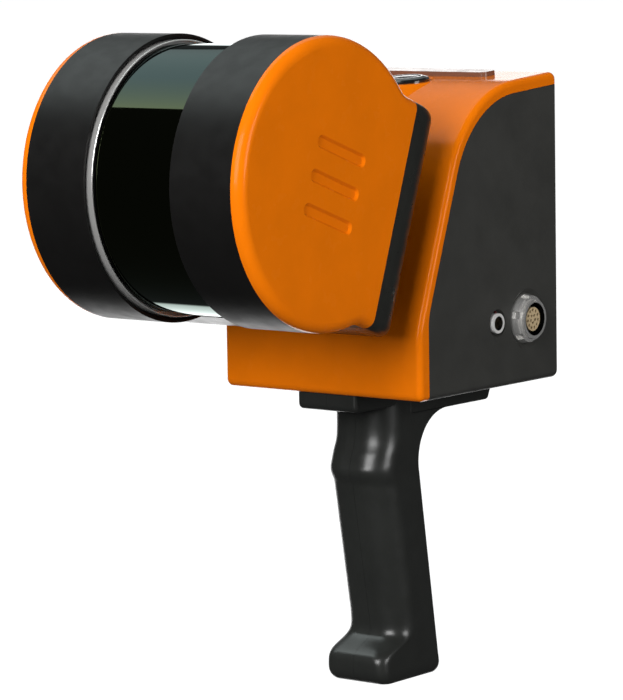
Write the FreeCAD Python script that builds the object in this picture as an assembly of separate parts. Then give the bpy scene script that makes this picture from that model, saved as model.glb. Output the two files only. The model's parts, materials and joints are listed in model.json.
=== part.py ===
"""Hand-held spinning laser scanner: a sensor head on a sloped case with a pistol grip.

All lengths are millimetres.  The model is drawn in the case frame: X is across (the connector side is
+X), Y runs from front to back, Z is up, and Z = 0 is the underside of the case.  The head frame has its
origin at the centre of the sensor, its y axis along the axis that the head spins about, and its x axis
along the sensor's own axis.  The parts are written with the origin at the centre of the grip.
"""
import FreeCAD, Part
import math
import os
from FreeCAD import Placement, Rotation, Vector

# ---- driving dimensions -------------------------------------------------------------------------
GRIP_CENTRE = Vector(0, 39.4, -62)      # origin of the written parts, in the case frame

TILT = 20                             # the head's spin axis rises this many degrees to the front
SENSOR_Y = -56.3                      # sensor centre in the case frame
SENSOR_Z = 88.6

CASE_HALF = 49.0
CASE_FRONT = 2.0
CASE_REAR = 96.5
SLOPE_AT = 75.7                       # sloped front wall, measured along the spin axis
TOP_HEIGHT = 120.86                   # height of the top face at BUTTON_Y
TOP_RISE = 4.5                        # degrees
KINK_RADIUS = 25.0
BROW_RADIUS = 48.5
CORNER = 3.0
EDGE = 2.4
WALL = 3.0

RIM_FRONT = 6.0                       # orange margin round the side panels
RIM_SLOPE = 4.0
RIM_TOP = 5.0
LEDGE = 2.0
LEDGE_INNER = 43.0
PANEL_BACK = 46.5
GAP = 0.15                            # fit between parts of one body
RAIL_INNER = 37.0

BUTTON_Y = 60.0
BEZEL_R = 10.0
BUTTON_R = 6.25
BUTTON_TRAVEL = 1.2

DATA_Y, DATA_Z = 74.3, 25.8
AUX_Y, AUX_Z = 53.6, 25.9

HEAD_R = 55.3
SHOULDER = 45.0
SHOULDER_FILLET = 12.0
HEAD_BACK = 39.5
HOUSING_IN = 20.95
HOUSING_OUT = 49.6
CAP_OUT = 54.3
BORE_R = 52.3
BORE_END = 40.0
WINDOW_R = 51.65
RING_R = 53.04
YOKE_BACK = 62.0

SHAFT_R = 15.0
JOURNAL_R = 12.48
CABLE_BORE_R = 8.0
BEARING_OUT = 18.5
BEARING_IN = 12.5
BEARING_W = 7.0
MODULE = 0.8
GEAR_TEETH = 60
PINION_TEETH = 16
CENTRES = MODULE * (GEAR_TEETH + PINION_TEETH) / 2

GRIP_HALF = 15.0
FLANGE_HALF = 14.6
WING_HALF = 15.1
FLANGE_FRONT = 5.5
FLANGE_DROP = 7.2
WING_DROP = 11.6
FOOT_BOTTOM = -119.2
GRIP_WALL = 2.8

SIN = math.sin(math.radians(TILT))
COS = math.cos(math.radians(TILT))
RISE = math.tan(math.radians(TOP_RISE))

HEAD_FRAME = Placement(Vector(0, SENSOR_Y, SENSOR_Z), Rotation(Vector(1, 0, 0), -TILT))
TOP_FRAME = Placement(Vector(0, BUTTON_Y, TOP_HEIGHT), Rotation(Vector(1, 0, 0), TOP_RISE))

PARTS = {}


# ---- helpers ------------------------------------------------------------------------------------
def placed(shape, frame):
    """Move a shape drawn in a local frame into the case frame."""
    moved = shape.copy()
    moved.Placement = frame.multiply(moved.Placement)
    return moved


def head(shape):
    return placed(shape, HEAD_FRAME)


def top(shape):
    return placed(shape, TOP_FRAME)


def box(x0, x1, y0, y1, z0, z1):
    return Part.makeBox(x1 - x0, y1 - y0, z1 - z0, Vector(x0, y0, z0))


def rod_x(r, x0, x1, y=0.0, z=0.0):
    return Part.makeCylinder(r, x1 - x0, Vector(x0, y, z), Vector(1, 0, 0))


def rod_y(r, y0, y1, x=0.0, z=0.0):
    return Part.makeCylinder(r, y1 - y0, Vector(x, y0, z), Vector(0, 1, 0))


def rod_z(r, z0, z1, x=0.0, y=0.0):
    return Part.makeCylinder(r, z1 - z0, Vector(x, y, z0), Vector(0, 0, 1))


def fuse(shapes):
    result = shapes[0]
    for shape in shapes[1:]:
        result = result.fuse(shape)
    return result.removeSplitter()


def cut(shape, tools):
    for tool in tools:
        shape = shape.cut(tool)
    return shape


def mirrored(shape):
    return shape.mirror(Vector(0, 0, 0), Vector(1, 0, 0))


def rounded(corners, radii):
    """Closed wire through coplanar corners, each replaced by an arc of its own radius."""
    starts, mids, ends = [], [], []
    count = len(corners)
    for i, corner in enumerate(corners):
        back = (corners[i - 1] - corner).normalize()
        ahead = (corners[(i + 1) % count] - corner).normalize()
        half = back.getAngle(ahead) / 2
        reach = radii[i] / math.tan(half)
        inward = (back + ahead).normalize()
        centre = corner + inward * (radii[i] / math.sin(half))
        starts.append(corner + back * reach)
        mids.append(centre - inward * radii[i])
        ends.append(corner + ahead * reach)
    edges = []
    for i in range(count):
        if radii[i] > 0:
            edges.append(Part.Arc(starts[i], mids[i], ends[i]).toShape())
        following = starts[(i + 1) % count]
        if (following - ends[i]).Length > 1e-6:
            edges.append(Part.LineSegment(ends[i], following).toShape())
    return Part.Wire(edges)


def side_wire(points, radii):
    return rounded([Vector(0, y, z) for y, z in points], radii)


def prism_x(wire, x0, x1):
    solid = Part.Face(wire).extrude(Vector(x1 - x0, 0, 0))
    solid.translate(Vector(x0, 0, 0))
    return solid


def both(make):
    """The same solid on +X and, mirrored, on -X."""
    return [make, mirrored(make)]


def add(name, *solids):
    PARTS[name] = list(solids)


# ---- case ---------------------------------------------------------------------------------------
def case_outline(front, slope, top_inset, rear=CASE_REAR, bottom=0.0, soft=CORNER):
    """Side outline of the case, set in from its front, slope and top by the given amounts."""
    front_y = CASE_FRONT + front
    along = SLOPE_AT + slope
    kink_s = (front_y - SENSOR_Y - along * COS) / SIN
    kink_z = SENSOR_Z - along * SIN + kink_s * COS
    roof = TOP_HEIGHT - top_inset / math.cos(math.radians(TOP_RISE))
    brow_s = (roof + RISE * (SENSOR_Y + along * COS - BUTTON_Y) - SENSOR_Z + along * SIN)
    brow_s = brow_s / (COS - RISE * SIN)
    brow_y = SENSOR_Y + along * COS + brow_s * SIN
    brow_z = SENSOR_Z - along * SIN + brow_s * COS
    rear_z = roof + RISE * (rear - BUTTON_Y)
    corners = [(front_y, bottom), (front_y, kink_z), (brow_y, brow_z), (rear, rear_z), (rear, bottom)]
    return side_wire(corners, [soft, KINK_RADIUS - slope, BROW_RADIUS - slope, soft, soft])


def case_block():
    block = prism_x(case_outline(0, 0, 0), -CASE_HALF, CASE_HALF)
    ends = [e for e in block.Edges if e.BoundBox.XLength < 1e-6]
    return block.makeFillet(EDGE, ends)


def open_outline(front, slope, top_inset):
    """An outline that runs out past the rear and the underside of the case."""
    return case_outline(front, slope, top_inset, rear=CASE_REAR + 20, bottom=-20, soft=1.0)


BLOCK = case_block()
SHAFT_HOLE_R = 19.1
BUTTON_HOLE_R = 7.6
PAD_TOP = -0.3
STATUS_X, STATUS_Y0, STATUS_Y1 = 28.5, 75.0, 84.5
STATUS_DEPTH = 1.5
STATUS_PROUD = 1.9


def status_plate(x, y0, y1, z0, z1, r):
    """Rounded plate on the top face; y counts from the front of the case."""
    corners = [Vector(sx * x, y - BUTTON_Y, z0) for sx, y in ((-1, y0), (1, y0), (1, y1), (-1, y1))]
    return top(Part.Face(rounded(corners, [r] * 4)).extrude(Vector(0, 0, z1 - z0)))


def body_shell():
    shell = BLOCK.cut(prism_x(open_outline(WALL, WALL, WALL), -LEDGE_INNER, LEDGE_INNER))
    ledge = open_outline(RIM_FRONT + LEDGE, RIM_SLOPE + LEDGE, RIM_TOP + LEDGE)
    seat = open_outline(RIM_FRONT - GAP, RIM_SLOPE - GAP, RIM_TOP - GAP)
    shell = cut(shell, [prism_x(ledge, -CASE_HALF - 5, CASE_HALF + 5)])
    shell = cut(shell, both(prism_x(seat, PANEL_BACK, CASE_HALF + 5)))
    pad = Part.makeCone(20.0, 12.6, 6.0 + PAD_TOP, Vector(0, 0, -6.0), Vector(0, 0, 1))
    shell = fuse([shell, top(pad)])
    dish = Part.makeCone(11.4, 16.0, 2.4, Vector(0, 0, PAD_TOP), Vector(0, 0, 1))
    window_hole = status_plate(STATUS_X, STATUS_Y0, STATUS_Y1, -STATUS_DEPTH, 5, 3.0)
    window_slot = status_plate(STATUS_X - 2, STATUS_Y0 + 2, STATUS_Y1 - 2, -10, 5, 2.0)
    shaft_hole = head(rod_y(SHAFT_HOLE_R, SLOPE_AT - 10, SLOPE_AT + 10))
    button_hole = top(rod_z(BUTTON_HOLE_R, -20, 20))
    return cut(shell, [top(dish), window_hole, window_slot, shaft_hole, button_hole])


PANEL_SCREWS = [(20.0, "base"), (84.0, "base"), (14.0, "rear"), (100.0, "rear")]
SCREW_X = 41.5


def case_screw_rods(r, base_z0, base_z1, rear_y0, rear_y1):
    """Rods on the case screws' axes, for both sides: through the base plate, then the rear cover."""
    base = []
    rear = []
    for at, face in PANEL_SCREWS:
        for x in (-SCREW_X, SCREW_X):
            if face == "base":
                base.append(rod_z(r, base_z0, base_z1, x, at))
            else:
                rear.append(rod_y(r, rear_y0, rear_y1, x, at))
    return base, rear


def side_panel_blank():
    """The +X side panel before its connector holes, with the rails that the covers screw to."""
    outline = case_outline(RIM_FRONT, RIM_SLOPE, RIM_TOP, rear=CASE_REAR + 20, bottom=-20, soft=1.0)
    plate = BLOCK.common(prism_x(outline, PANEL_BACK, CASE_HALF + 5))
    rear_rail = box(RAIL_INNER, PANEL_BACK, 87.4, 92.4, 4.2, 105)
    base_rail = box(RAIL_INNER, PANEL_BACK, 14, 87.4, 4.2, 9)
    blank = fuse([plate, rear_rail, base_rail])
    base, rear = case_screw_rods(1.55, 0, 8.6, 88, 100)
    return cut(blank, base + rear)


def side_panel_right():
    panel = side_panel_blank()
    panel = fuse([panel, rod_x(14, 44, PANEL_BACK, DATA_Y, DATA_Z), rod_x(8, 44, PANEL_BACK, AUX_Y, AUX_Z)])
    dish = Part.makeCone(10.3, 12.4, 1.8, Vector(CASE_HALF - 1.5, DATA_Y, DATA_Z), Vector(1, 0, 0))
    small_dish = Part.makeCone(4.9, 5.7, 1.8, Vector(CASE_HALF - 1.5, AUX_Y, AUX_Z), Vector(1, 0, 0))
    holes = [rod_x(8.1, 40, 60, DATA_Y, DATA_Z), rod_x(4.1, 40, 60, AUX_Y, AUX_Z)]
    return cut(panel, [dish, small_dish] + holes)


def rear_cover():
    wide = prism_x(open_outline(10, RIM_SLOPE + LEDGE + GAP, RIM_TOP + LEDGE + GAP), -46.4, 46.4)
    tall = prism_x(open_outline(10, WALL + GAP, WALL + GAP), -LEDGE_INNER + GAP, LEDGE_INNER - GAP)
    cover = BLOCK.common(fuse([wide, tall])).common(box(-60, 60, 93.6, 120, -10, 200))
    base, rear = case_screw_rods(1.7, 0, 1, 90, 100)
    heads = case_screw_rods(3.0, 0, 1, CASE_REAR - 1.8, CASE_REAR + 5)[1]
    return cut(cover, rear + heads)


FLANGE_BOLTS = [(9.0, 13.5, FLANGE_DROP), (9.0, 84.0, WING_DROP)]


def flange_bolt_rods(r, from_bottom, z1):
    """Rods on the four flange bolts' axes, from a height above the flange's underside up to z1."""
    rods = []
    for x, y, drop in FLANGE_BOLTS:
        for side in (-1, 1):
            rods.append(rod_z(r, -drop + from_bottom, z1, side * x, y))
    return rods


def base_plate():
    front = CASE_FRONT + RIM_FRONT + LEDGE + GAP
    wide = box(-46.4, 46.4, front, 93.5, 0, WALL)
    deep = box(-LEDGE_INNER + GAP, LEDGE_INNER - GAP, CASE_FRONT + WALL + GAP, 93.5, 0, WALL)
    plate = fuse([wide, deep])
    base, rear = case_screw_rods(1.7, -1, 5, 0, 1)
    heads = case_screw_rods(3.0, -5, 1.8, 0, 1)[0]
    return cut(plate, base + heads + flange_bolt_rods(2.05, 0, 8))


def case_seal():
    base = box(-46.2, 46.2, 10.6, 93.2, 3.05, 4.15).cut(box(-37, 37, 15, 88, 0, 9))
    rear = box(-46.2, 46.2, 92.45, 93.55, 4.4, 111).cut(box(-37, 37, 80, 99, 10, 105))
    base_rods, rear_rods = case_screw_rods(1.8, 0, 9, 90, 99)
    return [cut(base, base_rods), cut(rear, rear_rods)]


def case_screws():
    """Socket-head screws through the base plate and the rear cover, into the side panels' rails."""
    shank_base, shank_rear = case_screw_rods(1.5, 1.7, 8.4, 88.2, CASE_REAR - 1.7)
    head_base = case_screw_rods(2.8, 0.3, 1.7, 0, 1)[0]
    head_rear = case_screw_rods(2.8, 0, 1, CASE_REAR - 1.7, CASE_REAR - 0.3)[1]
    hex_base = case_screw_rods(1.2, -1, 1.2, 0, 1)[0]
    hex_rear = case_screw_rods(1.2, 0, 1, CASE_REAR - 1.2, CASE_REAR + 1)[1]
    base = [fuse([s, h]).cut(k) for s, h, k in zip(shank_base, head_base, hex_base)]
    rear = [fuse([s, h]).cut(k) for s, h, k in zip(shank_rear, head_rear, hex_rear)]
    return base, rear


# ---- controls on the top ------------------------------------------------------------------------
def button_bezel():
    """Black collar round the button, with a threaded sleeve through the shell."""
    profile = [(6.4, -12), (7.5, -12), (7.5, PAD_TOP), (BEZEL_R, PAD_TOP), (BEZEL_R, 0.5),
               (9.2, 1.15), (7.2, 1.75), (6.6, 1.75), (6.4, 1.5)]
    points = [Vector(r, 0, z) for r, z in profile]
    ring = Part.Face(Part.makePolygon(points + points[:1])).revolve(Vector(0, 0, 0), Vector(0, 0, 1), 360)
    return top(Part.Solid(ring))


def start_button():
    """Low domed cap on a stem."""
    dome_r = 40.0
    cap = rod_z(BUTTON_R, -6, 3).common(Part.makeSphere(dome_r, Vector(0, 0, 1.9 - dome_r)))
    return top(fuse([cap, rod_z(2.0, -9, -6)]))


def button_switch():
    return top(fuse([rod_z(6.2, -16, -12.1), rod_z(7.4, -18, -16)]))


# ---- connectors on the +X side ------------------------------------------------------------------
BARREL_R = 7.75
BARREL_BORE_R = 6.5
BARREL_END = 52.75
RING_AT = 50.9


def data_connector_shell():
    parts = [rod_x(8.0, 33, RING_AT, DATA_Y, DATA_Z), rod_x(8.75, RING_AT, 51.4, DATA_Y, DATA_Z),
             rod_x(BARREL_R - 0.35, 51.4, BARREL_END, DATA_Y, DATA_Z)]
    parts += [rod_x(BARREL_R, x, x + 0.3, DATA_Y, DATA_Z) for x in (51.55, 52.0, 52.45)]
    bores = [rod_x(BARREL_BORE_R, 47, 60, DATA_Y, DATA_Z), rod_x(4.9, 30, 60, DATA_Y, DATA_Z)]
    shell = cut(fuse(parts), bores)
    key = box(51.9, 54, DATA_Y - 0.7, DATA_Y + 0.7, DATA_Z + 5, DATA_Z + 9)
    return shell.cut(key)


def data_connector_nut():
    nut = Part.makeCone(10.0, 9.3, RING_AT - 47.6, Vector(47.55, DATA_Y, DATA_Z), Vector(1, 0, 0))
    nut = nut.cut(rod_x(8.05, 40, 60, DATA_Y, DATA_Z))
    for i in range(6):
        slot = box(48.4, 55, DATA_Y + 8.6, DATA_Y + 12, DATA_Z - 1.55, DATA_Z + 1.55)
        slot.rotate(Vector(0, DATA_Y, DATA_Z), Vector(1, 0, 0), 60 * i - 14)
        nut = nut.cut(slot)
    return nut


def contact_places():
    """Two rings of contacts about the data connector's axis."""
    places = []
    for ring_r, count, turn in ((3.55, 11, 90.0), (1.55, 5, 54.0)):
        for i in range(count):
            a = math.radians(turn + 360.0 * i / count)
            places.append((DATA_Y + ring_r * math.cos(a), DATA_Z + ring_r * math.sin(a)))
    return places


def data_connector_insert():
    holes = [rod_x(0.62, 35, 60, y, z) for y, z in contact_places()]
    return cut(rod_x(4.8, 36, 51.75, DATA_Y, DATA_Z), holes)


def data_connector_contacts():
    contacts = []
    for y, z in contact_places():
        contacts.append(rod_x(0.57, 33.1, 50.6, y, z).cut(rod_x(0.38, 49, 60, y, z)))
    return contacts


AUX_BORE_R = 2.7
AUX_END = 49.6


def aux_connector_shell():
    body = cut(rod_x(4.0, 36, AUX_END, AUX_Y, AUX_Z), [rod_x(AUX_BORE_R, 44, 60, AUX_Y, AUX_Z)])
    return body.cut(rod_x(1.6, 30, 50, AUX_Y, AUX_Z))


def aux_connector_insert():
    """Round insulator with a keyed slot across it."""
    stem = rod_x(1.5, 37, 44.2, AUX_Y, AUX_Z)
    slot = box(44.6, 60, AUX_Y - 0.5, AUX_Y + 0.5, AUX_Z - 4, AUX_Z + 4)
    face = rod_x(2.6, 44.1, 45.6, AUX_Y, AUX_Z).cut(slot)
    return fuse([stem, face])


def aux_connector_nut():
    return rod_x(6.0, 41.2, 43.9, AUX_Y, AUX_Z).cut(rod_x(4.05, 30, 60, AUX_Y, AUX_Z))


def aux_marker():
    return rod_x(0.4, 47.5, 48.3, AUX_Y, AUX_Z + 4.45)


# ---- spin drive inside the case -----------------------------------------------------------------
HOUSING_FRONT = SLOPE_AT + WALL + 0.05
FRONT_BEARING = 82.0
REAR_BEARING = 97.0
HOUSING_END = 105.0
PLATE_AT = 115.5
PLATE_END = 118.5
MOTOR_END = 146.0
POSTS = [(x, z) for x in (-29, 29) for z in (-20, 20)]
SCREW_RING = [(x, z) for x in (-32.5, 32.5) for z in (-8, 8)]


def shaft_seal():
    return head(rod_y(19.0, SLOPE_AT, SLOPE_AT + WALL).cut(rod_y(SHAFT_R + 0.06, 60, 90)))


def bearing_housing():
    corners = [Vector(x, HOUSING_FRONT, z) for x, z in ((-36, -27), (36, -27), (36, 27), (-36, 27))]
    flange = Part.Face(rounded(corners, [4] * 4)).extrude(Vector(0, 82 - HOUSING_FRONT, 0))
    body = fuse([flange, rod_y(22.5, 80, HOUSING_END)])
    bores = [rod_y(BEARING_OUT + 0.02, 70, FRONT_BEARING + BEARING_W), rod_y(16, 70, 120),
             rod_y(BEARING_OUT + 0.02, REAR_BEARING, 120)]
    screws = [rod_y(1.6, 70, 90, x, z) for x, z in SCREW_RING]
    return head(cut(body, bores + screws))


def bearing(start):
    """Deep-groove ball bearing: two races and a ring of balls."""
    end = start + BEARING_W
    mid = start + BEARING_W / 2
    outer = rod_y(BEARING_OUT, start, end).cut(rod_y(16.6, 0, 200))
    inner = rod_y(14.4, start, end).cut(rod_y(BEARING_IN, 0, 200))
    groove = Part.makeTorus(15.5, 1.85, Vector(0, mid, 0), Vector(0, 1, 0))
    balls = []
    for i in range(14):
        a = 2 * math.pi * i / 14
        balls.append(Part.makeSphere(1.8, Vector(15.5 * math.cos(a), mid, 15.5 * math.sin(a))))
    return [head(s) for s in [outer.cut(groove), inner.cut(groove)] + balls]


def bearing_housing_screws():
    screws = []
    for x, z in SCREW_RING:
        screws.append(head(fuse([rod_y(1.5, HOUSING_FRONT + 0.2, 82, x, z), rod_y(2.7, 82, 84.4, x, z)])))
    return screws


def motor_plate():
    corners = [Vector(x, PLATE_AT, z) for x, z in ((-40, -26), (36, -26), (36, 26), (-40, 26))]
    plate = Part.Face(rounded(corners, [5] * 4)).extrude(Vector(0, PLATE_END - PLATE_AT, 0))
    holes = [rod_y(9.2, 100, 130), rod_y(4.2, 100, 130, -CENTRES, 0)]
    holes += [rod_y(1.6, 100, 130, x, z) for x, z in POSTS]
    return head(cut(plate, holes))


def motor_plate_posts():
    return [head(rod_y(3.0, 82, PLATE_AT, x, z)) for x, z in POSTS]


def motor_plate_screws():
    return [head(rod_y(2.6, PLATE_END, PLATE_END + 2, x, z)) for x, z in POSTS]


def drive_motor():
    return head(rod_y(12, PLATE_END, MOTOR_END, -CENTRES, 0).cut(rod_y(2.56, 100, 140, -CENTRES, 0)))


def motor_shaft():
    return head(rod_y(2.5, 106.4, 139, -CENTRES, 0))


def involute(angle):
    return math.tan(angle) - angle


def gear(teeth, bore, y0, y1, turn, x):
    """Spur gear of the drive's module about an axis along y."""
    pitch = MODULE * teeth / 2
    base = pitch * math.cos(math.radians(20))
    root = pitch - 1.2 * MODULE
    tip = pitch + 0.9 * MODULE
    play = 0.05 / pitch
    start = max(base, root)
    half = math.pi / (2 * teeth) - play + involute(math.radians(20))
    flank = [start + (tip - start) * i / 3 for i in range(4)]
    points = []
    for k in range(teeth):
        middle = 2 * math.pi * k / teeth + math.radians(turn)
        spread = [(root, half)] + [(rho, half - involute(math.acos(base / rho))) for rho in flank]
        for rho, a in spread:
            points.append((rho, middle - a))
        for rho, a in reversed(spread):
            points.append((rho, middle + a))
    corners = [Vector(x + rho * math.cos(a), y0, rho * math.sin(a)) for rho, a in points]
    blank = Part.Face(Part.makePolygon(corners + corners[:1])).extrude(Vector(0, y1 - y0, 0))
    return head(blank.cut(rod_y(bore, y0 - 5, y1 + 5, x, 0)))


def spin_shaft():
    steps = [rod_y(SHAFT_R, 57, 81.9), rod_y(JOURNAL_R, 81.9, 105.5), rod_y(10, 105.5, 113)]
    return head(fuse(steps).cut(rod_y(CABLE_BORE_R, 40, 130)))


def slip_ring_rotor():
    return head(fuse([rod_y(7.9, 108, 113.05), rod_y(9.0, 113.05, 116), rod_y(6.0, 116, 124)]))


def slip_ring_body():
    body = fuse([rod_y(11, PLATE_END + 0.05, 142), rod_y(5, 142, 145)])
    return head(body.cut(rod_y(6.08, 110, 125)))


# ---- electronics --------------------------------------------------------------------------------
def main_board():
    return box(-35, 35, 88, 89.6, 62, 112)


def main_board_parts():
    """Processor under a finned heat sink, memory, inductors and connectors on the front face."""
    parts = [box(-24, -2, 86.2, 88, 80, 102)]
    fins = [box(-24 + 3 * i, -22.6 + 3 * i, 80.5, 84.6, 80, 102) for i in range(8)]
    parts.append(fuse([box(-24, -1.6, 84.6, 86.2, 80, 102)] + fins))
    parts += [box(4 + 8 * i, 10 + 8 * i, 86.8, 88, 86, 98) for i in range(3)]
    parts += [box(2 + 9 * i, 9 + 9 * i, 83.5, 88, 66, 73) for i in range(2)]
    parts += [rod_y(3.2, 83, 88, -28, 68 + 9 * i) for i in range(2)]
    return parts


def main_board_standoffs():
    return [rod_y(3, 89.6, 93.6, x, z) for x in (-31, 31) for z in (66, 100)]


def io_board():
    return box(31.4, 33, 58, 86, 10, 42)


def imu_module():
    body = box(-35, -9, 20, 40, WALL, 14)
    ears = box(-35, -9, 17, 43, WALL, WALL + 2)
    return fuse([body, ears])


# ---- sensor head --------------------------------------------------------------------------------
def head_outline():
    """Circle with a squared shoulder block at the back, joined by concave fillets."""
    reach = HEAD_R + SHOULDER_FILLET
    centre_z = SHOULDER + SHOULDER_FILLET
    centre_y = math.sqrt(reach ** 2 - centre_z ** 2)
    on_circle = Vector(0, centre_y, centre_z) * (HEAD_R / reach)
    to_circle = (on_circle - Vector(0, centre_y, centre_z)).normalize()
    bisector = (to_circle + Vector(0, 0, -1)).normalize()
    middle = Vector(0, centre_y, centre_z) + bisector * SHOULDER_FILLET
    on_line = Vector(0, centre_y, SHOULDER)
    corner = Vector(0, HEAD_BACK, SHOULDER)

    def low(v):
        return Vector(0, v.y, -v.z)

    return Part.Wire([
        Part.Arc(on_circle, Vector(0, -HEAD_R, 0), low(on_circle)).toShape(),
        Part.Arc(low(on_circle), low(middle), low(on_line)).toShape(),
        Part.LineSegment(low(on_line), low(corner)).toShape(),
        Part.LineSegment(low(corner), corner).toShape(),
        Part.LineSegment(corner, on_line).toShape(),
        Part.Arc(on_line, middle, on_circle).toShape(),
    ])


YOKE_SCREWS = [(46.5, z) for z in (-30, 30)]


def side_housing(steps):
    """+X housing of the head; steps are (radius, depth) bores in its inner end."""
    block = prism_x(head_outline(), HOUSING_IN, HOUSING_OUT)
    bores = [rod_x(r, HOUSING_IN - 1, HOUSING_IN + depth) for r, depth in steps]
    bores.append(rod_x(BORE_R, HOUSING_IN - 1, BORE_END))
    bores += [rod_y(2.05, 27, 60, x, z) for x, z in YOKE_SCREWS]
    return head(cut(block, bores))


BAR_PITCH = 13.0
BAR_HALF_LENGTH = 15.0
BAR_HALF_WIDTH = 2.6
BAR_DEPTH = 1.0


def cap_bar(z):
    """Plain decorative bar sunk in a cap, with sloping sides."""
    wires = []
    for x, margin in ((CAP_OUT + 0.2, 0.2), (CAP_OUT - BAR_DEPTH, -BAR_DEPTH)):
        half_y = BAR_HALF_LENGTH + margin
        half_z = BAR_HALF_WIDTH + margin
        signs = ((-1, -1), (1, -1), (1, 1), (-1, 1))
        corners = [Vector(x, sy * half_y, z + sz * half_z) for sy, sz in signs]
        wires.append(rounded(corners, [half_z - 0.01] * 4))
    return Part.makeLoft(wires, True, True)


def end_cap():
    """Orange +X cover, rounded all round its outer face except along its back."""
    blank = prism_x(head_outline(), HOUSING_OUT + 0.1, CAP_OUT)
    rim = []
    for edge in blank.Edges:
        b = edge.BoundBox
        if b.XLength < 1e-6 and b.XMin > CAP_OUT - 0.01 and b.YMin < HEAD_BACK - 0.01:
            rim.append(edge)
    cap = blank.makeFillet(CAP_OUT - HOUSING_OUT - 0.4, rim)
    for i in (-1, 0, 1):
        cap = cap.cut(cap_bar(BAR_PITCH * i))
    return head(cap)


def yoke_softened(block, front):
    """Round every edge of the yoke block except those round its front face."""
    soft = []
    for edge in block.Edges:
        b = edge.BoundBox
        middle = edge.valueAt((edge.FirstParameter + edge.LastParameter) / 2)
        along_y = b.XLength < 1e-4 and b.ZLength < 1e-4
        mitre = b.XLength > 1 and b.ZLength > 1
        flat_rim = b.ZLength < 1e-4 and b.XLength > 0.5 and abs(middle.z) > SHOULDER - 0.01
        side_rim = b.XLength < 1e-4 and b.ZLength > 0.5
        if b.YLength > 0.5 and (mitre or ((along_y or flat_rim or side_rim) and middle.y > front + 1)):
            soft.append(edge)
    return block.makeFillet(4.2, soft)


def yoke():
    """Block behind the two housings that carries them on the spin shaft."""
    front = HEAD_BACK + 0.1
    outline = ((-54, front), (54, front), (54, YOKE_BACK), (-54, YOKE_BACK))
    plan = [Vector(x, y, -SHOULDER) for x, y in outline]
    planform = Part.Face(rounded(plan, [0, 0, 18, 18])).extrude(Vector(0, 0, 2 * SHOULDER))
    side = side_wire([(front, -SHOULDER), (front, SHOULDER), (YOKE_BACK, SHOULDER), (YOKE_BACK, -SHOULDER)],
                     [0, 0, 10, 10])
    block = yoke_softened(planform.common(prism_x(side, -60, 60)), front)
    hollows = [rod_x(53.5, -BORE_END - 0.2, BORE_END + 0.2), rod_y(SHAFT_R + 0.03, 57, 70),
               rod_y(CABLE_BORE_R, 40, 70)]
    for x, z in YOKE_SCREWS:
        hollows += [rod_y(2.15, 30, 70, s * x, z) for s in (-1, 1)]
        hollows += [rod_y(3.7, 52, 70, s * x, z) for s in (-1, 1)]
    return head(cut(block, hollows))


def yoke_screws():
    screws = []
    for x, z in YOKE_SCREWS:
        for s in (-1, 1):
            screw = fuse([rod_y(2.0, 28, 52, s * x, z), rod_y(3.5, 52, 55.5, s * x, z)])
            screws.append(head(screw.cut(rod_y(1.5, 53.8, 60, s * x, z))))
    return screws


def retaining_ring():
    ring = cut(rod_x(RING_R, -24, -18.7), [rod_x(51.3, -30, -10), rod_x(52.5, -20.7, -10)])
    rim = [e for e in ring.Edges if e.BoundBox.XMin > -18.8 and abs(e.BoundBox.ZLength / 2 - RING_R) < 0.1]
    return head(ring.makeFillet(0.25, rim))


def sensor_base():
    base = fuse([rod_x(51.6, -38, -24.1), rod_x(51.2, -24.1, -18.5)])
    return head(cut(base, [rod_x(47, -50, -23)]))


def sensor_top():
    return head(rod_x(51.6, 24.1, 38).cut(rod_x(47, 28, 50)))


def sensor_window():
    return head(rod_x(WINDOW_R, -18.4, 24).cut(rod_x(49.4, -30, 40)))


def rotor_spindle():
    return head(rod_x(4.98, -18.4, 24.0))


def rotor_frame():
    """Two discs on a hub with the wall that holds the optics between them."""
    parts = [rod_x(9, -16, 21.6), rod_x(46, -16, -13), rod_x(46, 18.6, 21.6), box(-13.5, 19, -6, 6, -40, 40)]
    sockets = [rod_y(13.1, -50, -3.9, 2.8, z) for z in (-20, 20)]
    return head(cut(fuse(parts), [rod_x(5.05, -30, 40)] + sockets))


def rotor_lenses():
    lenses = []
    for z in (-20, 20):
        barrel = rod_y(13, -34, -4, 2.8, z).cut(rod_y(11, -35, -7, 2.8, z))
        ball = Part.makeSphere(30, Vector(2.8, -5, z))
        lens = rod_y(10.9, -36, -29, 2.8, z).common(ball)
        lenses += [head(barrel), head(lens)]
    return lenses


def rotor_board():
    return head(box(-11, 16.5, 12, 13.6, -32, 32).fuse(box(-8, 13, 6.05, 12, -30, -14)))


# ---- grip ---------------------------------------------------------------------------------------
REAR_LEAN = 0.148
REAR_AT_FOOT = 61.6
FRONT_LEAN = 0.174
FRONT_AT_TOP = 21.9                   # front face at RAKE_TOP, where the straight rake begins
RAKE_TOP = -40.0
NECK_FRONT = 23.9
NECK_Z = -25.5
RIDGE_Z = -33.6
RIDGE_DEPTH = 1.6
HOOK_Z = -104.6
HOOK_REACH = 14.4
SWEEP_R = 24.0
FRONT_CORNER = 11.0
REAR_CORNER = 4.5
FOOT_CORNER = 4.2
FOOT_ROUND = 5.0
LOFT_BOTTOM = FOOT_BOTTOM - 0.6


def soft_step(z, centre, width):
    return 1 / (1 + math.exp(-(z - centre) / width))


def grip_front(z):
    """Front face: a straight rake, a finger ridge, a waist above it and the hook at the foot."""
    rake = FRONT_AT_TOP + FRONT_LEAN * (RAKE_TOP - z)
    neck = (NECK_FRONT - rake) * soft_step(z, NECK_Z, 2.0)
    ridge = RIDGE_DEPTH * math.exp(-((z - RIDGE_Z) / 3.0) ** 2)
    hook = HOOK_REACH * (1 - soft_step(z, HOOK_Z, 1.6))
    return rake + neck - ridge - hook


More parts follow.
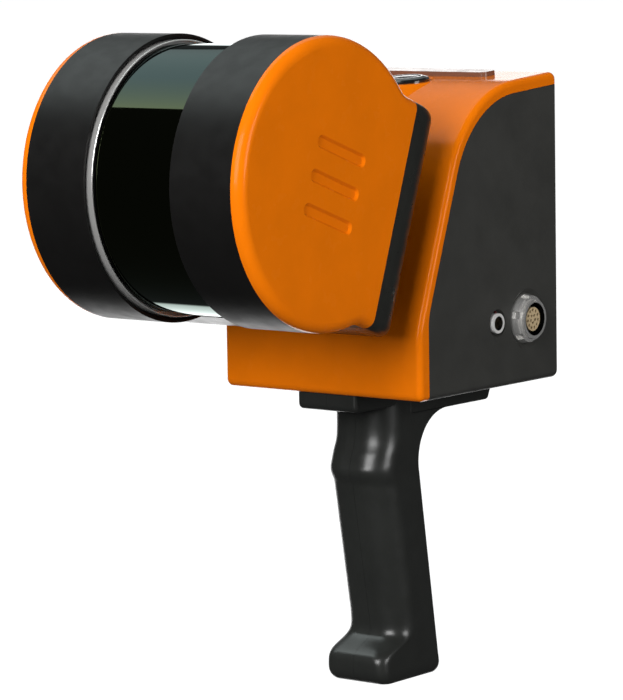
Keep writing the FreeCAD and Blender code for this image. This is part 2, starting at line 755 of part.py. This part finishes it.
def grip_rear(z):
    return REAR_AT_FOOT - REAR_LEAN * (z - FOOT_BOTTOM)


def grip_section(z, inset):
    """Rounded rectangle across the grip, drawn in towards the foot's lower edge."""
    foot = min(FOOT_ROUND, max(0.0, FOOT_ROUND - (z - LOFT_BOTTOM)))
    tuck = FOOT_ROUND - math.sqrt(FOOT_ROUND ** 2 - foot ** 2)
    x = GRIP_HALF - inset - 0.6 * tuck
    front = grip_front(z) + inset + tuck
    rear = grip_rear(z) - inset - tuck
    above_foot = soft_step(z, HOOK_Z, 3.0)
    r_front = FOOT_CORNER + (FRONT_CORNER - FOOT_CORNER) * above_foot - 0.6 * inset - 0.3 * tuck
    r_rear = REAR_CORNER - 0.6 * inset - 0.3 * tuck
    corners = [Vector(-x, front, z), Vector(x, front, z), Vector(x, rear, z), Vector(-x, rear, z)]
    return rounded(corners, [r_front, r_front, r_rear, r_rear])


def span(a, b, count):
    return [a + (b - a) * i / (count - 1) for i in range(count)]


def grip_core():
    """The grip's outside, from the foot up into the flange."""
    foot = [LOFT_BOTTOM + d for d in (0.0, 0.5, 1.3, 2.6, 4.2)]
    heights = foot + span(-112, -98, 10) + span(-94, -48, 7) + span(-44, -2, 15)
    loft = Part.makeLoft([grip_section(z, 0.0) for z in heights], True, False)
    return loft.common(box(-40, 40, 0, 110, FOOT_BOTTOM, 0))


def rear_sweep():
    """Web that carries the grip's back out to the flange's wing in a concave arc."""
    start = 0.3 - WING_DROP - SWEEP_R
    x = GRIP_HALF - 0.03
    sections = []
    for degrees in span(0, 88, 12):
        turn = math.radians(degrees)
        z = start + SWEEP_R * math.sin(turn)
        rear = grip_rear(z) - 0.02 + SWEEP_R * (1 - math.cos(turn))
        corners = [Vector(-x, 36, z), Vector(x, 36, z), Vector(x, rear, z), Vector(-x, rear, z)]
        sections.append(rounded(corners, [1, 1, REAR_CORNER, REAR_CORNER]))
    return Part.makeLoft(sections, True, False)


def grip_cavity():
    heights = span(-112, -98, 6) + span(-92, -48, 6) + span(-42, -14, 10)
    return Part.makeLoft([grip_section(z, GRIP_WALL) for z in heights], True, False)


def softened(plate, radius):
    """Round the lower edges of a flange plate's two sides."""
    lower = []
    for edge in plate.Edges:
        b = edge.BoundBox
        if b.XLength < 1e-6 and b.ZMin < -0.5 and (b.ZLength > 0.01 or b.ZMax < -0.5):
            lower.append(edge)
    return plate.makeFillet(radius, lower)


def flange():
    """Front plate and deeper rear wing, which join the grip to the case."""
    front = [(FLANGE_FRONT, 0), (FLANGE_FRONT, -FLANGE_DROP), (48, -FLANGE_DROP), (48, 0)]
    front_plate = prism_x(side_wire(front, [0, 2.5, 0, 0]), -FLANGE_HALF, FLANGE_HALF)
    rear = [(40, 0), (40, -WING_DROP), (94.5, -WING_DROP), (96.3, -7.5), (96.3, 0)]
    wing = prism_x(side_wire(rear, [0, 0, 2.0, 1.0, 0]), -WING_HALF, WING_HALF)
    return fuse([softened(front_plate, 1.4), softened(wing, 1.4)])


GRIP_SCREWS = [(36.5, -32.0), (43.5, -72.0), (50.0, -109.0)]


def handle_halves():
    """The grip moulding, split on the mid plane; the halves are hollow and screw together."""
    whole = fuse([grip_core(), rear_sweep(), flange()])
    cavity = grip_cavity()
    bosses = [rod_x(4.2, -14, 14, y, z) for y, z in GRIP_SCREWS]
    hollow = cut(cavity, bosses)
    sinks = [rod_z(4.0, -drop - 1, -drop + 2.6, s * x, y) for x, y, drop in FLANGE_BOLTS for s in (-1, 1)]
    whole = cut(whole, [hollow] + flange_bolt_rods(2.2, -1, 1) + sinks)
    pilots = [rod_x(1.5, -1, 10, y, z) for y, z in GRIP_SCREWS]
    right = cut(whole.common(box(0.04, 40, 0, 110, -130, 10)), pilots)
    left = whole.common(box(-40, -0.04, 0, 110, -130, 10))
    left = cut(left, [rod_x(1.7, -20, 1, y, z) for y, z in GRIP_SCREWS])
    left = cut(left, [rod_x(3.1, -20, -12.2, y, z) for y, z in GRIP_SCREWS])
    return right, left


def handle_screws():
    screws = []
    for y, z in GRIP_SCREWS:
        screw = fuse([rod_x(1.45, -12.25, 9.5, y, z), rod_x(2.9, -14.4, -12.25, y, z)])
        screws.append(screw.cut(rod_x(1.1, -16, -13.2, y, z)))
    return screws


def flange_bolts():
    bolts = []
    for x, y, drop in FLANGE_BOLTS:
        for s in (-1, 1):
            bolt_head = rod_z(3.8, -drop + 0.3, -drop + 2.5, s * x, y)
            bolt = fuse([rod_z(2.0, -drop + 2.5, 2.8, s * x, y), bolt_head])
            bolts.append(bolt.cut(rod_z(1.5, -drop - 1, -drop + 1.7, s * x, y)))
    return bolts


# ---- assembly -----------------------------------------------------------------------------------
def build():
    add("body_shell", body_shell())
    add("side_panel_right", side_panel_right())
    add("side_panel_left", mirrored(side_panel_blank()))
    add("rear_cover", rear_cover())
    add("base_plate", base_plate())
    add("case_seal", *case_seal())
    base_screws, rear_screws = case_screws()
    add("base_plate_screws", *base_screws)
    add("rear_cover_screws", *rear_screws)
    window = status_plate(STATUS_X - 0.1, STATUS_Y0 + 0.1, STATUS_Y1 - 0.1, -STATUS_DEPTH, STATUS_PROUD, 2.9)
    add("status_window", window)
    add("button_bezel", button_bezel())
    add("start_button", start_button())
    add("button_switch", button_switch())
    add("data_connector_shell", data_connector_shell())
    add("data_connector_nut", data_connector_nut())
    add("data_connector_insert", data_connector_insert())
    add("data_connector_contacts", *data_connector_contacts())
    add("aux_connector_shell", aux_connector_shell())
    add("aux_connector_insert", aux_connector_insert())
    add("aux_connector_nut", aux_connector_nut())
    add("aux_marker", aux_marker())
    add("shaft_seal", shaft_seal())
    add("bearing_housing", bearing_housing())
    add("front_bearing", *bearing(FRONT_BEARING))
    add("rear_bearing", *bearing(REAR_BEARING))
    add("bearing_housing_screws", *bearing_housing_screws())
    add("motor_plate", motor_plate())
    add("motor_plate_posts", *motor_plate_posts())
    add("motor_plate_screws", *motor_plate_screws())
    add("drive_motor", drive_motor())
    add("motor_shaft", motor_shaft())
    add("motor_pinion", gear(PINION_TEETH, 2.5, 107.5, 113, 180.0 / PINION_TEETH, -CENTRES))
    add("main_gear", gear(GEAR_TEETH, 10.02, 107, 112.9, 0, 0))
    add("spin_shaft", spin_shaft())
    add("slip_ring_rotor", slip_ring_rotor())
    add("slip_ring_body", slip_ring_body())
    add("main_board", main_board())
    add("main_board_parts", *main_board_parts())
    add("main_board_standoffs", *main_board_standoffs())
    add("io_board", io_board())
    add("imu_module", imu_module())
    plain = side_housing([])
    stepped = side_housing([(54.4, 1.0), (53.8, 2.0), (53.35, 3.4)])
    add("side_housing_right", plain)
    add("side_housing_left", mirrored(stepped))
    add("end_cap_right", end_cap())
    add("end_cap_left", mirrored(end_cap()))
    add("yoke", yoke())
    add("yoke_screws", *yoke_screws())
    add("retaining_ring", retaining_ring())
    add("sensor_base", sensor_base())
    add("sensor_top", sensor_top())
    add("sensor_window", sensor_window())
    add("rotor_spindle", rotor_spindle())
    add("rotor_frame", rotor_frame())
    add("rotor_lenses", *rotor_lenses())
    add("rotor_board", rotor_board())
    right, left = handle_halves()
    add("handle_half_right", right)
    add("handle_half_left", left)
    add("handle_screws", *handle_screws())
    add("flange_bolts", *flange_bolts())


def write():
    os.makedirs("parts", exist_ok=True)
    for name, solids in PARTS.items():
        shape = solids[0] if len(solids) == 1 else Part.makeCompound(solids)
        shape = shape.copy()
        shape.translate(-GRIP_CENTRE)
        shape.exportStep("parts/" + name + ".step")
        print(name, "valid" if shape.isValid() else "INVALID", len(shape.Solids), round(shape.Volume, 1))


build()
write()
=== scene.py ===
"""Looks of the hand-held laser scanner: materials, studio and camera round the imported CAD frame.

All lengths are metres in the part's own frame: X across (ports on +X), Y to the rear, Z up, with the
origin at the centre of the grip.
"""
import bpy
import json
import math
from mathutils import Matrix, Vector


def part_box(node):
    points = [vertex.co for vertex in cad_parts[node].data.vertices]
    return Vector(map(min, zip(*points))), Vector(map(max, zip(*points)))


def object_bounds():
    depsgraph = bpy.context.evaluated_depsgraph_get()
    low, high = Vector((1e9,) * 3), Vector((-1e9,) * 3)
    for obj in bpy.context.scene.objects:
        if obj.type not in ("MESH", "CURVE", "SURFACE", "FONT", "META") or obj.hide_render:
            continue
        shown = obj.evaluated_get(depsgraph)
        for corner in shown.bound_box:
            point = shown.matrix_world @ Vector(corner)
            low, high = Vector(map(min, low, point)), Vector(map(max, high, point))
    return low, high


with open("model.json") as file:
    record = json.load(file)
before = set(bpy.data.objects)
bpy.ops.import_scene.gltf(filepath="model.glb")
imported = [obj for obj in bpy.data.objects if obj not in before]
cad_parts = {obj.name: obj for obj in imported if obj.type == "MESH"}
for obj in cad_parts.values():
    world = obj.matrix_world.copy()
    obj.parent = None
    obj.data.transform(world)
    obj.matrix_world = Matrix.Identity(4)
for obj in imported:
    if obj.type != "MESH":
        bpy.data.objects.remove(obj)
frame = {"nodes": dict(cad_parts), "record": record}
CAD_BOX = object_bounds()
NODES = frame["nodes"]
LOW, HIGH = CAD_BOX

# ---- camera -------------------------------------------------------------------------------------
VIEW_AZIMUTH = math.radians(38.42)
VIEW_ELEVATION = math.radians(6.93)
VIEW_ROLL = math.radians(-0.93)
VIEW_DISTANCE = 1.4008                       # from the case's lower front corner on the port side
LENS_MM = 186.8
SENSOR_MM = 36.0
CORNER_POINT = Vector((0.04903, -0.0394, 0.062))
CORNER_OFFSET = (0.04092, -0.02077)          # of that corner from the view axis, right and up
CLIP_NEAR, CLIP_FAR = 0.05, 50.0


def make_camera():
    sa, ca = math.sin(VIEW_AZIMUTH), math.cos(VIEW_AZIMUTH)
    se, ce = math.sin(VIEW_ELEVATION), math.cos(VIEW_ELEVATION)
    back = Vector((sa * ce, -ca * ce, se))
    level = Vector((ca, sa, 0.0))
    rise = back.cross(level)
    right = level * math.cos(VIEW_ROLL) + rise * math.sin(VIEW_ROLL)
    up = rise * math.cos(VIEW_ROLL) - level * math.sin(VIEW_ROLL)
    eye = CORNER_POINT + back * VIEW_DISTANCE - right * CORNER_OFFSET[0] - up * CORNER_OFFSET[1]
    data = bpy.data.cameras.new("camera")
    data.lens = LENS_MM
    data.sensor_width = SENSOR_MM
    data.clip_start = CLIP_NEAR
    data.clip_end = CLIP_FAR
    camera = bpy.data.objects.new("camera", data)
    bpy.context.scene.collection.objects.link(camera)
    turn = Matrix((right, up, back)).transposed().to_4x4()
    camera.matrix_world = Matrix.Translation(eye) @ turn
    bpy.context.scene.camera = camera


make_camera()


# ---- shader node helpers ------------------------------------------------------------------------
def remap(tree, value, source, result, interpolation="LINEAR"):
    """Map one range of values to another, held at both ends."""
    node = tree.nodes.new("ShaderNodeMapRange")
    node.interpolation_type = interpolation
    node.inputs["From Min"].default_value, node.inputs["From Max"].default_value = source
    node.inputs["To Min"].default_value, node.inputs["To Max"].default_value = result
    tree.links.new(value, node.inputs["Value"])
    return node.outputs["Result"]


def calculate(tree, operation, value, number):
    node = tree.nodes.new("ShaderNodeMath")
    node.operation = operation
    node.inputs[1].default_value = number
    tree.links.new(value, node.inputs[0])
    return node.outputs["Value"]


def vector_step(tree, operation, vector, other=None):
    """One vector operation; a dot product and a length give a number, the rest give a vector."""
    node = tree.nodes.new("ShaderNodeVectorMath")
    node.operation = operation
    tree.links.new(vector, node.inputs[0])
    if other is not None:
        node.inputs[1].default_value = other
    return node.outputs["Value" if operation in ("DOT_PRODUCT", "LENGTH") else "Vector"]


def axis_value(tree, vector, axis):
    node = tree.nodes.new("ShaderNodeSeparateXYZ")
    tree.links.new(vector, node.inputs["Vector"])
    return node.outputs[axis]


def texture_coordinate(tree, kind):
    return tree.nodes.new("ShaderNodeTexCoord").outputs[kind]


def light_path(tree):
    return tree.nodes.new("ShaderNodeLightPath").outputs["Is Camera Ray"]


# ---- studio -------------------------------------------------------------------------------------
FLOOR_Z = LOW.z
FLOOR_HALF = 12.0
FLOOR_GREY = 0.20
FLOOR_ROUGHNESS = 0.9
FLOOR_GLOW = 1.0
ROOM_GLOW = 0.05
BACKDROP_GLOW = 2.2
BACKDROP_AT = (-0.617, 0.753, -0.23)
BACKDROP_EDGE = (0.886, 0.915)               # cosine of the angle from the backdrop's middle
CEILING_X = -0.85
CEILING_Z = 1.15
CEILING_HALF_X = 0.65
CEILING_FRONT = -0.575
CEILING_REAR = 2.6
CEILING_TINT = (0.90, 1.0, 0.99, 1.0)
CEILING_FADE = (1.0, 0.33)                   # front to rear, before the power
CEILING_POWER = 4.5
CEILING_GAIN = 3.4
LIGHT_TARGET = Vector((0.0, 0.0, 0.05))
AREA_LIGHTS = {                              # place, side of the square, watts
    "front_key": ((0.35, -1.80, 0.80), 1.1, 41.0),
    "right_key": ((2.10, 0.05, 0.55), 0.8, 17.5),
}


def rectangle(name, corners):
    """A one-face object with a new material; gives the object and the material's nodes."""
    mesh = bpy.data.meshes.new(name)
    mesh.from_pydata(corners, [], [(0, 1, 2, 3)])
    panel = bpy.data.objects.new(name, mesh)
    bpy.context.scene.collection.objects.link(panel)
    material = bpy.data.materials.new(name)
    material.use_nodes = True
    mesh.materials.append(material)
    return panel, material.node_tree


def make_floor():
    """Flat floor that glows white to the camera alone and is left out of reflections."""
    half = FLOOR_HALF
    floor, tree = rectangle("floor", [(-half, -half, FLOOR_Z), (half, -half, FLOOR_Z),
                                      (half, half, FLOOR_Z), (-half, half, FLOOR_Z)])
    floor.visible_glossy = False
    shader = tree.nodes["Principled BSDF"]
    shader.inputs["Base Color"].default_value = (FLOOR_GREY, FLOOR_GREY, FLOOR_GREY, 1.0)
    shader.inputs["Roughness"].default_value = FLOOR_ROUGHNESS
    shader.inputs["Specular IOR Level"].default_value = 0.0
    shader.inputs["Emission Color"].default_value = (FLOOR_GLOW, FLOOR_GLOW, FLOOR_GLOW, 1.0)
    tree.links.new(light_path(tree), shader.inputs["Emission Strength"])


def make_world():
    """Dark room with one bright backdrop, behind the object and away to -X; the camera sees white."""
    world = bpy.data.worlds.new("studio")
    bpy.context.scene.world = world
    world.use_nodes = True
    tree = world.node_tree
    background = tree.nodes["Background"]
    towards = vector_step(tree, "DOT_PRODUCT", texture_coordinate(tree, "Generated"), BACKDROP_AT)
    glow = remap(tree, towards, BACKDROP_EDGE, (ROOM_GLOW, BACKDROP_GLOW), "SMOOTHSTEP")
    pick = tree.nodes.new("ShaderNodeMath")
    pick.operation = "MAXIMUM"
    tree.links.new(light_path(tree), pick.inputs[0])
    tree.links.new(glow, pick.inputs[1])
    tree.links.new(pick.outputs["Value"], background.inputs["Strength"])
    background.inputs["Color"].default_value = (1.0, 1.0, 1.0, 1.0)


def make_ceiling():
    """Overhead softbox, brightest at its front edge; its reflection is the band in the window."""
    half_x, half_y = CEILING_HALF_X, (CEILING_REAR - CEILING_FRONT) / 2
    ceiling, tree = rectangle("ceiling", [(-half_x, -half_y, 0), (-half_x, half_y, 0),
                                          (half_x, half_y, 0), (half_x, -half_y, 0)])
    ceiling.location = (CEILING_X, CEILING_FRONT + half_y, CEILING_Z)
    ceiling.visible_camera = False
    shader = tree.nodes["Principled BSDF"]
    shader.inputs["Base Color"].default_value = (0.0, 0.0, 0.0, 1.0)
    shader.inputs["Emission Color"].default_value = CEILING_TINT
    along = axis_value(tree, texture_coordinate(tree, "Object"), "Y")
    fade = remap(tree, along, (-half_y, half_y), CEILING_FADE)
    curve = calculate(tree, "POWER", fade, CEILING_POWER)
    tree.links.new(calculate(tree, "MULTIPLY", curve, CEILING_GAIN), shader.inputs["Emission Strength"])


def make_lights():
    for name, (place, side, power) in AREA_LIGHTS.items():
        data = bpy.data.lights.new(name, "AREA")
        data.shape = "RECTANGLE"
        data.size = data.size_y = side
        data.energy = power
        light = bpy.data.objects.new(name, data)
        bpy.context.scene.collection.objects.link(light)
        light.location = place
        light.rotation_euler = (LIGHT_TARGET - Vector(place)).to_track_quat("-Z", "Y").to_euler()


make_floor()
make_world()
make_ceiling()
make_lights()
bpy.context.scene.view_settings.view_transform = "Standard"

# ---- materials ----------------------------------------------------------------------------------
NOISE_SPAN = (0.35, 0.65)                    # where nearly all of a noise texture's values fall


class Finish:
    """A procedural material built on one Principled shader, in object coordinates."""

    def __init__(self, name, roughness, metallic=0.0, ior=1.5, coat=0.0, coat_roughness=0.1,
                 coat_ior=1.5):
        self.material = bpy.data.materials.new(name)
        self.material.use_nodes = True
        self.tree = self.material.node_tree
        self.shader = self.tree.nodes["Principled BSDF"]
        self.set("Roughness", roughness)
        self.set("Metallic", metallic)
        self.set("IOR", ior)
        self.set("Coat Weight", coat)
        self.set("Coat Roughness", coat_roughness)
        self.set("Coat IOR", coat_ior)
        self.where = texture_coordinate(self.tree, "Object")
        self.height = None

    def set(self, socket, value):
        self.shader.inputs[socket].default_value = value

    def noise(self, scale, detail=3.0, stretch=None):
        """Noise with features about 1 / scale metres across, stretched along the axes if asked."""
        vector = self.where
        if stretch:
            mapping = self.tree.nodes.new("ShaderNodeMapping")
            mapping.inputs["Scale"].default_value = stretch
            self.tree.links.new(vector, mapping.inputs["Vector"])
            vector = mapping.outputs["Vector"]
        node = self.tree.nodes.new("ShaderNodeTexNoise")
        node.inputs["Scale"].default_value = scale
        node.inputs["Detail"].default_value = detail
        self.tree.links.new(vector, node.inputs["Vector"])
        return node.outputs["Fac"]

    def colour(self, first, second, value, span=NOISE_SPAN):
        """Blend from the first colour to the second as the value crosses the span."""
        node = self.tree.nodes.new("ShaderNodeMix")
        node.data_type = "RGBA"
        node.inputs["A"].default_value = (*first, 1.0)
        node.inputs["B"].default_value = (*second, 1.0)
        self.tree.links.new(remap(self.tree, value, span, (0.0, 1.0)), node.inputs["Factor"])
        self.tree.links.new(node.outputs["Result"], self.shader.inputs["Base Color"])

    def rough(self, low, high, value):
        self.tree.links.new(remap(self.tree, value, NOISE_SPAN, (low, high)), self.shader.inputs["Roughness"])

    def bump(self, value, depth):
        node = self.tree.nodes.new("ShaderNodeBump")
        node.inputs["Distance"].default_value = depth
        node.inputs["Strength"].default_value = 1.0
        self.tree.links.new(value, node.inputs["Height"])
        if self.height is not None:
            self.tree.links.new(self.height, node.inputs["Normal"])
        self.height = node.outputs["Normal"]
        self.tree.links.new(self.height, self.shader.inputs["Normal"])


DRIFT_SCALE = 55.0                           # slow change of colour over a moulding
MARKS_SCALE = 160.0                          # handling marks
MARKS_ROUGHNESS = 0.035                      # how far they change the roughness, up and down
WAVE_SCALE = 90.0                            # slight unevenness under the grain
WAVE_DEPTH = 1.5                             # times the grain's depth
COAT_ROUGHNESS = 0.6                         # times the roughness under the coat
TOOL_MARK_SCALE = 900.0
TOOL_MARK_DEPTH = 0.0000002


def scaled(colour, factor):
    return tuple(min(1.0, c * factor) for c in colour)


def moulded(name, colour, roughness, grain=2600.0, depth=0.00002, variation=0.06, coat=0.0, ior=1.5,
            coat_ior=1.5):
    """Moulded plastic: slight colour drift, fine spark-eroded grain and handling marks in the gloss."""
    f = Finish(name, roughness, ior=ior, coat=coat, coat_roughness=roughness * COAT_ROUGHNESS,
               coat_ior=coat_ior)
    f.colour(scaled(colour, 1.0 - variation), scaled(colour, 1.0 + variation), f.noise(DRIFT_SCALE, 4.0))
    f.rough(roughness - MARKS_ROUGHNESS, roughness + MARKS_ROUGHNESS, f.noise(MARKS_SCALE, 6.0))
    f.bump(f.noise(grain, 2.0), depth)
    f.bump(f.noise(WAVE_SCALE, 2.0), depth * WAVE_DEPTH)
    return f.material


def turned_metal(name, colour, roughness, stretch=(1.0, 1.0, 1.0), metallic=1.0):
    """Machined or plated metal with fine tool marks across its axis."""
    f = Finish(name, roughness, metallic=metallic)
    marks = f.noise(TOOL_MARK_SCALE, 4.0, stretch)
    f.colour(scaled(colour, 0.97), scaled(colour, 1.03), marks)
    f.rough(roughness * 0.9, roughness * 1.1, marks)
    f.bump(marks, TOOL_MARK_DEPTH)
    return f.material


# painted reflection: olive and teal are the tints the window's coating reflects, which on the real window
# shift with the angle of view; here they are painted by height
WINDOW_OLIVE = (0.034, 0.040, 0.021)
WINDOW_TEAL = (0.023, 0.033, 0.033)
WINDOW_REFLECTION_TINT_BAND = (0.180, 0.191)                 # heights between which the painted reflection tint turns from olive to teal
WINDOW_TINT = (0.88, 0.98, 0.97, 1.0)


def window_finish():
    """Dark infrared window with a painted reflection tint, olive low down turning to teal higher up, and
    faint wiping marks.
    """
    f = Finish("window_glass", 0.03, metallic=1.0)
    # painted reflection tint, set by height in the part's frame instead of by the angle of view
    f.colour(WINDOW_OLIVE, WINDOW_TEAL, axis_value(f.tree, f.where, "Z"), WINDOW_REFLECTION_TINT_BAND)
    f.set("Specular Tint", WINDOW_TINT)
    f.rough(0.018, 0.045, f.noise(220.0, 6.0, (0.3, 1.0, 1.0)))
    return f.material


PLATING = (0.92, 0.91, 0.89)
# painted shade: the bore inside each port shell is painted black for the shade that falls in it
BORE_SHADE = (0.006, 0.006, 0.006)
PLATING_EDGE = (0.00005, 0.00020)            # beyond the bore's radius, where the painted shade turns to plating
ACROSS_PORT = (0.0, 1.0, 1.0)
PORT_BORES = {                               # radius of the bore, metallic share of the plating
    "data_connector_shell": (0.0065, 0.80),
    "aux_connector_shell": (0.0027, 0.30),
}


def port_finish(node, bore, metallic):
    """Bright plating outside and a bore painted black for the shade inside it, told apart by the distance
    from the port's axis.
    """
    low, high = (Vector(corner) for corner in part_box(node))
    middle = (low + high) / 2
    f = Finish(node, 0.20, metallic=metallic)
    offset = vector_step(f.tree, "SUBTRACT", f.where, middle)
    distance = vector_step(f.tree, "LENGTH", vector_step(f.tree, "MULTIPLY", offset, ACROSS_PORT))
    # painted shade: black within the bore's radius, plating beyond it
    f.colour(BORE_SHADE, PLATING, distance, [bore + edge for edge in PLATING_EDGE])
    f.rough(0.16, 0.24, f.noise(TOOL_MARK_SCALE, 4.0, (6.0, 0.6, 0.6)))
    return f.material


def lens_finish():
    """Coated glass with a faint violet cast."""
    f = Finish("lens_glass", 0.05, ior=1.8)
    f.colour((0.02, 0.005, 0.03), (0.03, 0.01, 0.05), f.noise(60.0))
    f.rough(0.03, 0.07, f.noise(300.0))
    return f.material


def board_finish():
    """Solder mask over copper tracks."""
    f = Finish("circuit_board", 0.35, coat=0.3)
    tracks = f.noise(420.0, 1.0, (1.0, 0.15, 1.0))
    f.colour((0.008, 0.09, 0.03), (0.015, 0.16, 0.055), tracks)
    f.bump(tracks, 0.00003)
    return f.material


ORANGE = (0.88, 0.190, 0.002)
MATERIALS = {
    "shell_orange": moulded("shell_orange", ORANGE, 0.25, grain=2200.0, depth=0.000002, variation=0.03,
                            coat=1.0, ior=1.10, coat_ior=1.14),
    "panel_black": moulded("panel_black", (0.040, 0.040, 0.0365), 0.50, grain=1900.0, depth=0.00002,
                           variation=0.10, ior=1.4),
    "housing_black": moulded("housing_black", (0.0055, 0.0052, 0.0050), 0.42, grain=2400.0,
                             depth=0.00001, variation=0.10, ior=1.32),
    "yoke_black": moulded("yoke_black", (0.0190, 0.0200, 0.0175), 0.30, grain=3000.0, depth=0.000002,
                          variation=0.10),
    "grip_black": moulded("grip_black", (0.0190, 0.0202, 0.0186), 0.32, grain=2600.0, depth=0.000006,
                          variation=0.08),
    "button_black": moulded("button_black", (0.010, 0.010, 0.010), 0.16, grain=3000.0, depth=0.000005,
                            variation=0.08, coat=0.5),
    "window_glass": window_finish(),
    "status_glass": moulded("status_glass", (0.20, 0.095, 0.060), 0.16, grain=3000.0, depth=0.000003,
                            variation=0.05),
    "sensor_metal": moulded("sensor_metal", (0.004, 0.004, 0.004), 0.30, grain=2600.0, depth=0.000006,
                            variation=0.10),
    "ring_silver": turned_metal("ring_silver", (0.90, 0.89, 0.87), 0.20, (8.0, 0.4, 0.4), 0.7),
    "rotor_black": moulded("rotor_black", (0.012, 0.012, 0.012), 0.50),
    "lens_glass": lens_finish(),
    "connector_chrome": turned_metal("connector_chrome", PLATING, 0.15, (6.0, 0.6, 0.6), 0.80),
    "insert_tan": moulded("insert_tan", (0.60, 0.46, 0.27), 0.50, grain=3200.0, depth=0.00001,
                          variation=0.08),
    "contact_gold": turned_metal("contact_gold", (0.28, 0.15, 0.05), 0.35),
    "marker_red": moulded("marker_red", (0.08, 0.004, 0.004), 0.30),
    "fastener_steel": turned_metal("fastener_steel", (0.10, 0.10, 0.105), 0.38),
    "bearing_steel": turned_metal("bearing_steel", (0.55, 0.55, 0.57), 0.22),
    "machined_aluminium": turned_metal("machined_aluminium", (0.62, 0.62, 0.63), 0.34, (1.0, 6.0, 1.0)),
    "gear_plastic": moulded("gear_plastic", (0.62, 0.58, 0.50), 0.45),
    "seal_rubber": moulded("seal_rubber", (0.010, 0.010, 0.010), 0.75, grain=1500.0, depth=0.00004,
                           variation=0.15),
    "circuit_green": board_finish(),
    "imu_grey": turned_metal("imu_grey", (0.22, 0.22, 0.24), 0.42),
}
PORTS = {node: port_finish(node, *values) for node, values in PORT_BORES.items()}


def dress_frame():
    """Give every CAD node the material of its slot in the record; the port shells have their own."""
    for part in frame["record"]["subparts"]:
        finish = PORTS.get(part["node"], MATERIALS[part["material_slot"]])
        for slot in NODES[part["node"]].material_slots:
            slot.material = finish


dress_frame()
